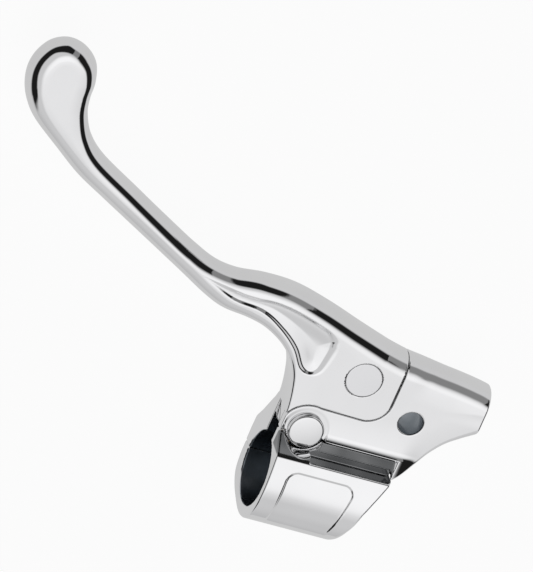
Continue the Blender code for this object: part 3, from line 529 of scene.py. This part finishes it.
def net_quads(inside, index):
    """One quad around every grid edge that the surface crosses."""
    size = inside.shape
    quads = []
    for axis in range(3):
        side_u, side_v = [(1, 2), (2, 0), (0, 1)][axis]
        near = [slice(None)] * 3
        far = [slice(None)] * 3
        near[axis], far[axis] = slice(0, size[axis] - 1), slice(1, size[axis])
        cells = np.argwhere(inside[tuple(near)] != inside[tuple(far)])
        kept = np.ones(len(cells), bool)
        for side in (side_u, side_v):
            kept &= (cells[:, side] >= 1) & (cells[:, side] < size[side] - 1)
        cells = cells[kept]
        inside_first = inside[cells[:, 0], cells[:, 1], cells[:, 2]]
        ring = []
        for back_u, back_v in ((1, 1), (0, 1), (0, 0), (1, 0)):
            cell = cells.copy()
            cell[:, side_u] -= back_u
            cell[:, side_v] -= back_v
            ring.append(index[cell[:, 0], cell[:, 1], cell[:, 2]])
        ring = np.stack(ring, 1)
        ring[~inside_first] = ring[~inside_first][:, ::-1]
        quads.append(ring)
    return np.vstack(quads)


def surface_net(solid, low, high, step):
    """Closed quad mesh of solid = 0, its points pulled onto the surface."""
    size = [int(math.ceil((high[k] - low[k]) / step)) + 1 for k in range(3)]
    xs, ys, zs = [low[k] + step * np.arange(size[k]) for k in range(3)]
    values = np.empty(size, np.float32)
    chunk = max(1, int(2.5e6 / (size[1] * size[2])))    # limits the memory in use
    for i in range(0, size[0], chunk):
        values[i:i + chunk] = solid(xs[i:i + chunk, None, None], ys[None, :, None],
                                    zs[None, None, :])
    values[values == 0] = 1e-6
    inside = values < 0
    count = np.zeros([m - 1 for m in size], np.uint8)
    for a, b, c in itertools.product((0, 1), repeat=3):
        count += inside[a:size[0] - 1 + a, b:size[1] - 1 + b, c:size[2] - 1 + c]
    active = np.argwhere((count > 0) & (count < 8))
    index = np.full(count.shape, -1, np.int64)
    index[active[:, 0], active[:, 1], active[:, 2]] = np.arange(len(active))
    points = pull_onto(solid, net_points(values, active, low, step), step)
    return points, net_quads(inside, index)


def link(name, data):
    ob = bpy.data.objects.new(name, data)
    bpy.context.scene.collection.objects.link(ob)
    return ob


def casting(name, solid, low, high, step):
    """Mesh object of an implicit solid with its exact surface normals."""
    points, quads = surface_net(solid, low, high, step)
    mesh = bpy.data.meshes.new(name)
    mesh.vertices.add(len(points))
    place = np.array([0.0, DATUM_Y, 0.0])
    mesh.vertices.foreach_set("co", ((points + place) * MM).astype(np.float32).ravel())
    mesh.loops.add(quads.size)
    mesh.loops.foreach_set("vertex_index", quads.ravel().astype(np.int32))
    mesh.polygons.add(len(quads))
    mesh.polygons.foreach_set("loop_start", np.arange(0, quads.size, 4, dtype=np.int32))
    mesh.polygons.foreach_set("loop_total", np.full(len(quads), 4, np.int32))
    mesh.update(calc_edges=True)
    ob = link(name, mesh)
    mesh.validate()
    mesh.polygons.foreach_set("use_smooth", np.ones(len(mesh.polygons), bool))
    # validation may drop faces, so the places are read back from the mesh
    co = np.empty(len(mesh.vertices) * 3, np.float32)
    mesh.vertices.foreach_get("co", co)
    co = co.reshape(-1, 3).astype(float) / MM - place
    normals = gradient(solid, co, 0.03)
    normals /= np.maximum(np.linalg.norm(normals, axis=1), 1e-9)[:, None]
    mesh.normals_split_custom_set_from_vertices(normals.astype(np.float32))
    return ob


def lathe(name, profile, at, segments=96):
    """Turned piece: (radius, z) profile, from axis to axis, spun about Z."""
    bm = bmesh.new()
    verts = [bm.verts.new((radius * MM, 0.0, z * MM)) for radius, z in profile]
    edges = [bm.edges.new(pair) for pair in zip(verts, verts[1:])]
    bmesh.ops.spin(bm, geom=verts + edges, cent=(0, 0, 0), axis=(0, 0, 1), angle=2 * math.pi,
                   steps=segments, use_merge=True)
    bmesh.ops.remove_doubles(bm, verts=bm.verts, dist=1e-7)
    bmesh.ops.recalc_face_normals(bm, faces=bm.faces)
    mesh = bpy.data.meshes.new(name)
    bm.to_mesh(mesh)
    bm.free()
    mesh.transform(Matrix.Translation((at[0] * MM, (at[1] + DATUM_Y) * MM, 0)))
    ob = link(name, mesh)
    mesh.shade_smooth()
    mesh.set_sharp_from_angle(angle=math.radians(32))
    return ob


def pin_profile():
    """Shallow domed head with a rolled rim, then the shank with its groove."""
    flat = PIN_HEAD_R - PIN_RIM_R
    profile = [(0.0, PIN_HEAD_TOP)]
    for k in range(1, 11):
        radius = flat * k / 10
        profile.append((radius, PIN_HEAD_TOP - PIN_HEAD_DROP * (radius / flat) ** 2))
    for k in range(1, 9):
        angle = math.pi / 2 * k / 8
        profile.append((flat + PIN_RIM_R * math.sin(angle),
                        PIN_HEAD_TOP - PIN_HEAD_DROP - PIN_RIM_R * (1 - math.cos(angle))))
    underside = TOP + 0.08
    return profile + [
        (PIN_HEAD_R, TOP + 0.2), (PIN_HEAD_R - 0.15, underside), (PIN_R, underside),
        (PIN_R, PIN_GROOVE_TOP), (PIN_GROOVE_R, PIN_GROOVE_TOP),
        (PIN_GROOVE_R, PIN_GROOVE_LOW), (PIN_R, PIN_GROOVE_LOW),
        (PIN_R, PIN_END + PIN_CHAMFER), (PIN_R - PIN_CHAMFER, PIN_END), (0.0, PIN_END)]


# ------------------------------------------------------------------ materials
class Graph:
    """Small helper to write shader arithmetic in a node tree."""

    def __init__(self, tree):
        self.tree = tree

    def put(self, socket, value):
        """Sets a socket to a number or colour, or links an output to it."""
        if isinstance(value, (int, float, tuple)):
            socket.default_value = value
        else:
            self.tree.links.new(value, socket)

    def make(self, kind, settings=None, **inputs):
        """New node; an underscore in an input's name stands for a space."""
        made = self.tree.nodes.new("ShaderNode" + kind)
        for name, value in (settings or {}).items():
            setattr(made, name, value)
        for name, value in inputs.items():
            self.put(made.inputs[name.replace("_", " ")], value)
        return made

    def math(self, operation, *values):
        made = self.make("Math", {"operation": operation})
        for socket, value in zip(made.inputs, values):
            self.put(socket, value)
        return made.outputs[0]

    def add(self, first, second):
        return self.math("ADD", first, second)

    def minus(self, first, second):
        return self.math("SUBTRACT", first, second)

    def times(self, first, *rest):
        for value in rest:
            first = self.math("MULTIPLY", first, value)
        return first

    def hypot(self, first, second):
        return self.math("SQRT", self.add(self.times(first, first), self.times(second, second)))

    def between(self, value, low, high):
        return self.times(self.math("GREATER_THAN", value, low),
                          self.math("LESS_THAN", value, high))

    def ramp(self, value, start, end, low=0.0, high=1.0, kind="SMOOTHSTEP"):
        """Goes from low at start to high at end."""
        return self.make("MapRange", {"interpolation_type": kind}, Value=value, From_Min=start,
                         From_Max=end, To_Min=low, To_Max=high).outputs["Result"]

    def mix(self, factor, first, second):
        """Mixes numbers."""
        return self.blend("FLOAT", (0, 2, 3), 0, factor, first, second)

    def mix_colour(self, factor, first, second):
        return self.blend("RGBA", (0, 6, 7), 2, factor, first, second)

    def blend(self, kind, sockets, output, *values):
        made = self.make("Mix", {"data_type": kind})
        for socket, value in zip(sockets, values):
            self.put(made.inputs[socket], value)
        return made.outputs[output]

    def mix_shader(self, factor, first, second):
        made = self.make("MixShader")
        for socket, value in zip(made.inputs, (factor, first, second)):
            self.put(socket, value)
        return made.outputs[0]

    def noise(self, vector, scale, detail=2.0, rough=0.5):
        return self.make("TexNoise", Vector=vector, Scale=scale, Detail=detail,
                         Roughness=rough).outputs["Fac"]

    def bump(self, height, strength, distance, **under):
        return self.make("Bump", Height=height, Strength=strength, Distance=distance,
                         **under).outputs["Normal"]


def rgba(colour, factor=1.0):
    return (*[c * factor for c in colour], 1)


def new_material(name, metallic):
    """Material, its graph, its shader's inputs and the object coordinates."""
    material = bpy.data.materials.new(name)
    material.use_nodes = True
    graph = Graph(material.node_tree)
    inputs = material.node_tree.nodes["Principled BSDF"].inputs
    if metallic:
        inputs["Metallic"].default_value = 1.0
    return material, graph, inputs, graph.make("TexCoord").outputs["Object"]


def surface(graph, inputs, colour, rough, normal):
    graph.put(inputs["Base Color"], colour)
    graph.put(inputs["Roughness"], rough)
    graph.put(inputs["Normal"], normal)


def metal(name, colour, rough, spread, bump, scale, grain=None):
    """Plated or turned metal: polish variation, fine waviness and, where
    asked, a turned grain."""
    material, graph, inputs, where = new_material(name, metallic=True)
    broad = graph.noise(where, scale, detail=3.0)
    fine = graph.noise(where, scale * 22.0)
    roughness = graph.ramp(broad, start=0.3, end=0.7, low=rough, high=rough + spread,
                           kind="LINEAR")
    tint = graph.mix_colour(broad, rgba(colour), rgba(colour, 0.96))
    normal = graph.bump(fine, strength=bump, distance=0.001)
    if grain:
        rings = graph.make("TexWave", {"wave_type": "RINGS", "rings_direction": "Z"},
                           Vector=where, Scale=grain, Distortion=0.6).outputs["Fac"]
        normal = graph.bump(rings, strength=0.08, distance=0.0004, Normal=normal)
    surface(graph, inputs, tint, roughness, normal)
    return material


def polymer(name, colour, rough):
    """Dark plastic with a fine grain."""
    material, graph, inputs, where = new_material(name, metallic=False)
    grain = graph.noise(where, 900.0)
    surface(graph, inputs,
            colour=graph.mix_colour(grain, rgba(colour), rgba(colour, 1.4)),
            rough=graph.ramp(grain, start=0.0, end=1.0, low=rough, high=rough + 0.2,
                             kind="LINEAR"),
            normal=graph.bump(grain, strength=0.15, distance=0.0005))
    return material


def from_axis(graph, x, y, at):
    """Distance in metres from an upright axis given in millimetres."""
    return graph.hypot(graph.minus(x, at[0] * MM), graph.minus(y, at[1] * MM))


def unpolished_mask(graph, x, y, z):
    """1 in the handlebar bore, the mirror hole and the tongue's slot."""
    mask = graph.math("LESS_THAN", graph.hypot(y, z), (BORE_R + 0.13) * MM)
    hole = graph.math("LESS_THAN", from_axis(graph, x, y, MIRROR), (MIRROR_R + 0.12) * MM)
    mask = graph.math("MAXIMUM", mask, hole)
    slot = graph.times(graph.math("GREATER_THAN", z, SLOT_LO * MM),
                       graph.math("LESS_THAN", z, SLOT_HI * MM),
                       graph.math("LESS_THAN", x, (SLOT_X1 + 0.1) * MM),
                       graph.math("GREATER_THAN", x, 0.4 * MM),
                       graph.math("LESS_THAN", y, 30.2 * MM),
                       graph.math("GREATER_THAN", y, SLOT_Y0 * MM))
    return graph.math("MAXIMUM", mask, slot)


def slope_shade_mask(graph, x, y, z):
    """1 on the slope along the cap's +Y side, outside the pivot's hollow (metres): where shade is
    painted.
    """
    return graph.times(graph.ramp(y, start=0.01265, end=0.0135),
                       graph.ramp(z, start=0.0048, end=0.0056),
                       graph.ramp(z, start=0.0122, end=0.0131, low=1.0, high=0.0),
                       graph.ramp(from_axis(graph, x, y, PIVOT), start=0.0070, end=0.0073))


def chrome(name, tint=(0.905, 0.905, 0.91), bore=False, slope=False):
    """Mirror plating on a cast and hand polished part: it rolls slightly over
    centimetres, with faint haze patches and hairlines. Bores are plated but
    left unpolished. The slope of the cap gets painted shade: a dark grey in
    milled patches stands for the shade that falls on it."""
    material, graph, inputs, where = new_material(name, metallic=True)
    haze = graph.noise(where, 42.0, detail=3.0)
    hair = graph.noise(where, 2600.0)
    roll = graph.noise(where, 26.0, detail=1.0, rough=0.3)
    rough = graph.add(graph.ramp(haze, start=0.35, end=0.75, low=0.012, high=0.045),
                      graph.times(hair, 0.012))
    colour = graph.mix_colour(graph.ramp(haze, start=0.3, end=0.8), rgba(tint), rgba(tint, 0.96))
    if bore or slope:
        parts = graph.make("SeparateXYZ", Vector=where).outputs
        x, z = parts["X"], parts["Z"]
        y = graph.minus(parts["Y"], DATUM_Y * MM)
    if slope:
        # painted shade: the slope is coloured dark grey in milled patches, standing in for its
        # shade
        face = slope_shade_mask(graph, x, y, z)
        patches = graph.ramp(graph.noise(where, 75.0, rough=0.4), start=0.3, end=0.7)
        milled_and_shaded_grey = graph.mix_colour(patches, (0.20, 0.205, 0.21, 1), (0.36, 0.365, 0.37, 1))
        colour = graph.mix_colour(face, colour, milled_and_shaded_grey)
        rough = graph.mix(face, rough, 0.16)
    if bore:
        raw = unpolished_mask(graph, x, y, z)
        cast = graph.ramp(graph.noise(where, 110.0, detail=1.5, rough=0.4), start=0.25, end=0.75)
        raw_colour = graph.mix_colour(graph.times(cast, haze), (0.20, 0.225, 0.25, 1),
                                      (0.56, 0.60, 0.64, 1))
        colour = graph.mix_colour(raw, colour, raw_colour)
        rough = graph.mix(raw, rough, graph.add(0.20, graph.times(haze, 0.16)))
    rolling = graph.bump(roll, strength=1.0, distance=0.00016)
    normal = graph.bump(hair, strength=1.0, distance=0.0000012, Normal=rolling)
    surface(graph, inputs, colour, rough, normal)
    return material


# ------------------------------------------------------------------ pieces
def dress(piece, material, rides, stands_for):
    """Gives a piece its material and tells the frame what it is."""
    piece.data.materials.append(material)
    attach(piece, rides)
    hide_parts(stands_for)


dress(casting("lever_polished", lever_solid, (-130.0, 11.0, LEVER_GRID_Z - 42 * FINE),
              (34.0, 133.5, 6.3), FINE),
      chrome("lever_chrome"), "lever", "lever")
dress(casting("perch_polished", perch_solid, (-1.2, -1.2, -19.2), (68.0, 55.5, 7.9), FINE),
      chrome("perch_chrome", bore=True), "perch", "perch_body")
dress(casting("clamp_cap_polished", cap_solid, (-1.2, -17.6, -19.2), (43.2, 19.6, 16.4), FINE),
      chrome("cap_chrome", bore=True, slope=True), "perch", "clamp_cap")
dress(lathe("pivot_pin_domed", pin_profile(), PIVOT),
      chrome("pin_chrome", tint=(0.90, 0.90, 0.905)), "perch", "pivot_pin")
dress(casting("cable_anchor_turned", anchor_solid, (13.2, 36.6, -10.7), (26.8, 50.2, 5.9),
              ANCHOR_STEP),
      chrome("anchor_chrome", tint=(0.86, 0.86, 0.87)),
      "cable_anchor", "cable_anchor_pin")

STEEL = (0.50, 0.51, 0.53)
ZINC = (0.60, 0.61, 0.63)
BLACK = (0.18, 0.18, 0.19)
SPRING = (0.42, 0.42, 0.43)
BRONZE = (0.62, 0.42, 0.20)
BRASS = (0.72, 0.55, 0.28)
RUBBER_BLACK = (0.055, 0.055, 0.06)
# CAD piece, material, then colour, roughness, its spread, bump, noise scale, grain scale
CAD_METALS = [
    ("clamp_screw_outboard", "screw_steel_a", STEEL, 0.26, 0.10, 0.05, 120, 900.0),
    ("clamp_screw_inboard", "screw_steel_b", STEEL, 0.28, 0.10, 0.05, 130, 900.0),
    ("clamp_washer_outboard", "washer_zinc_a", ZINC, 0.34, 0.12, 0.08, 150),
    ("clamp_washer_inboard", "washer_zinc_b", ZINC, 0.36, 0.12, 0.08, 160),
    ("pivot_clip", "clip_black_a", BLACK, 0.36, 0.12, 0.06, 140),
    ("anchor_clip", "clip_black_b", BLACK, 0.38, 0.12, 0.06, 150),
    ("pivot_wave_washer", "spring_steel", SPRING, 0.30, 0.10, 0.05, 140),
    ("pivot_bush_top", "bronze_a", BRONZE, 0.34, 0.14, 0.10, 200),
    ("pivot_bush_bottom", "bronze_b", BRONZE, 0.36, 0.14, 0.10, 210),
    ("cable_seat", "seat_brass", BRASS, 0.26, 0.10, 0.05, 120, 900.0),
]
# CAD piece, material, colour, roughness
CAD_POLYMERS = [
    ("anchor_bush_top", "bush_polymer_a", RUBBER_BLACK, 0.42),
    ("anchor_bush_bottom", "bush_polymer_b", RUBBER_BLACK, 0.44),
]
for build, rows in ((metal, CAD_METALS), (polymer, CAD_POLYMERS)):
    for part, *look in rows:
        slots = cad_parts[part].data.materials
        slots.clear()
        slots.append(build(*look))


# ------------------------------------------------------------------ stage
FLOOR_TONE, WALL_TONE = 0.62, 0.625    # how bright the studio looks in the chrome


def build_floor():
    """Pale floor: near white with a faint shadow when seen directly, light
    grey when seen in the chrome."""
    bpy.ops.mesh.primitive_plane_add(size=60.0, location=(0, 0, FLOOR_Z * MM))
    floor = bpy.context.active_object
    floor.name = "studio_floor"
    material = bpy.data.materials.new("floor_white")
    material.use_nodes = True
    material.node_tree.nodes.clear()
    graph = Graph(material.node_tree)
    output = graph.make("OutputMaterial")
    shaded = graph.make("BsdfDiffuse", Color=(0.9, 0.9, 0.9, 1)).outputs[0]
    glow = graph.make("Emission", Strength=1.03).outputs[0]
    direct = graph.mix_shader(0.10, glow, shaded)
    reflected = graph.make("Emission", Color=(FLOOR_TONE, FLOOR_TONE, FLOOR_TONE, 1)).outputs[0]
    seen = graph.make("LightPath").outputs["Is Camera Ray"]
    graph.put(output.inputs["Surface"], graph.mix_shader(seen, reflected, direct))
    floor.data.materials.append(material)


def tent_level(graph, aim):
    """Brightness of the tent by direction: pale walls and a dark opening."""
    parts = graph.make("SeparateXYZ", Vector=aim).outputs
    aim_x, aim_y, aim_z = parts["X"], parts["Y"], parts["Z"]
    level_part = graph.math("MAXIMUM", graph.hypot(aim_x, aim_y), 0.001)

    def along(direction):
        """Cosine of the angle to a direction."""
        dot = graph.make("VectorMath", {"operation": "DOT_PRODUCT"})
        graph.put(dot.inputs[0], aim)
        dot.inputs[1].default_value = Vector(direction).normalized()
        return dot.outputs["Value"]

    def bearing(toward_x, toward_y):
        """Cosine of the level angle to a level direction."""
        dot = graph.add(graph.times(aim_x, toward_x), graph.times(aim_y, toward_y))
        return graph.math("DIVIDE", dot, level_part)

    # the dark opening takes all bearings but a sector around -Y
    side = graph.ramp(bearing(-0.259, 0.966), start=-0.86, end=-0.76)
    # its top and foot stand higher towards +X and +Y
    east = bearing(0.80, 0.60)
    roof = graph.ramp(east, start=-0.6, end=0.9, low=0.66, high=0.82)
    under_roof = graph.ramp(graph.minus(aim_z, roof), start=-0.04, end=0.06, low=1.0, high=0.0)
    foot = graph.ramp(east, start=0.55, end=0.97, low=0.16, high=0.42)
    over_foot = graph.ramp(graph.minus(aim_z, foot), start=-0.10, end=0.06)
    dark = graph.times(side, graph.times(under_roof, over_foot))
    # a paler strip stands in the dark opening
    strip = along((-0.822, 0.524, 0.222))
    pale = graph.times(graph.ramp(strip, start=-0.09, end=-0.07),
                       graph.ramp(strip, start=0.16, end=0.22, low=1.0, high=0.0),
                       graph.ramp(aim_y, start=-0.1, end=0.1))
    deep = graph.mix(pale, 0.012, 0.24)
    # walls: a little darker low on the -Y side, brighter overhead, slightly uneven
    low_back = graph.times(graph.ramp(aim_y, start=-0.95, end=-0.45, low=1.0, high=0.0),
                           graph.ramp(aim_z, start=0.0, end=0.7, low=1.0, high=0.0))
    overhead = graph.ramp(along((0.15, -0.12, 0.98)), start=math.cos(math.radians(32)),
                          end=math.cos(math.radians(6)))
    walls = graph.add(graph.minus(WALL_TONE, graph.times(low_back, 0.10)),
                      graph.times(overhead, 0.38))
    walls = graph.times(walls, graph.add(0.98, graph.times(graph.noise(aim, 2.2), 0.05)))
    return graph.mix(dark, walls, deep)


def build_world():
    """White when seen directly, the tent when seen in the chrome."""
    world = bpy.data.worlds.new("tent")
    bpy.context.scene.world = world
    world.use_nodes = True
    world.node_tree.nodes.clear()
    graph = Graph(world.node_tree)
    output = graph.make("OutputWorld")
    direct = graph.make("Background", Color=(1, 1, 1, 1)).outputs[0]
    level = tent_level(graph, graph.make("TexCoord").outputs["Generated"])
    combined = graph.make("CombineColor")
    for socket, value in zip(combined.inputs, (level, level, graph.times(level, 1.008))):
        graph.put(socket, value)
    tent = graph.make("Background", Color=combined.outputs["Color"]).outputs[0]
    seen = graph.make("LightPath").outputs["Is Camera Ray"]
    graph.put(output.inputs["Surface"], graph.mix_shader(seen, tent, direct))


# ------------------------------------------------------------------ camera
VIEW_WIDTH = 184.51613                          # mm across the picture
AIM_RIGHT, AIM_UP = 3.7096774, 58.8064516       # mm from the bore's centre at the end face
CAMERA_DIST = 7.5                               # metres to the object's middle
DEPTH = 44.0 * MM       # middle of the object's depth, ahead of the bore's end
SENSOR = 24.0


def build_camera():
    """Long lens looking down on the top, with +X to the right."""
    right = Vector((0.912, 0.374, 0.168)).normalized()
    back = Vector((-0.33, 0.425, 0.843)).normalized()
    up = back.cross(right).normalized()
    right = up.cross(back).normalized()
    aim = (right * AIM_RIGHT + up * AIM_UP + Vector((0.0, DATUM_Y, 0.0))) * MM
    data = bpy.data.cameras.new("camera")
    camera = link("camera", data)
    camera.matrix_world = Matrix.Translation(aim + back * (CAMERA_DIST + DEPTH)) @ Matrix(
        (right, up, back)).transposed().to_4x4()
    data.sensor_fit = "AUTO"
    data.sensor_width = SENSOR
    data.lens = SENSOR * CAMERA_DIST / (VIEW_WIDTH * MM)
    data.clip_start = 1.0
    data.clip_end = 200.0
    bpy.context.scene.camera = camera


build_floor()
build_world()
build_camera()
bpy.context.scene.view_settings.view_transform = "Standard"
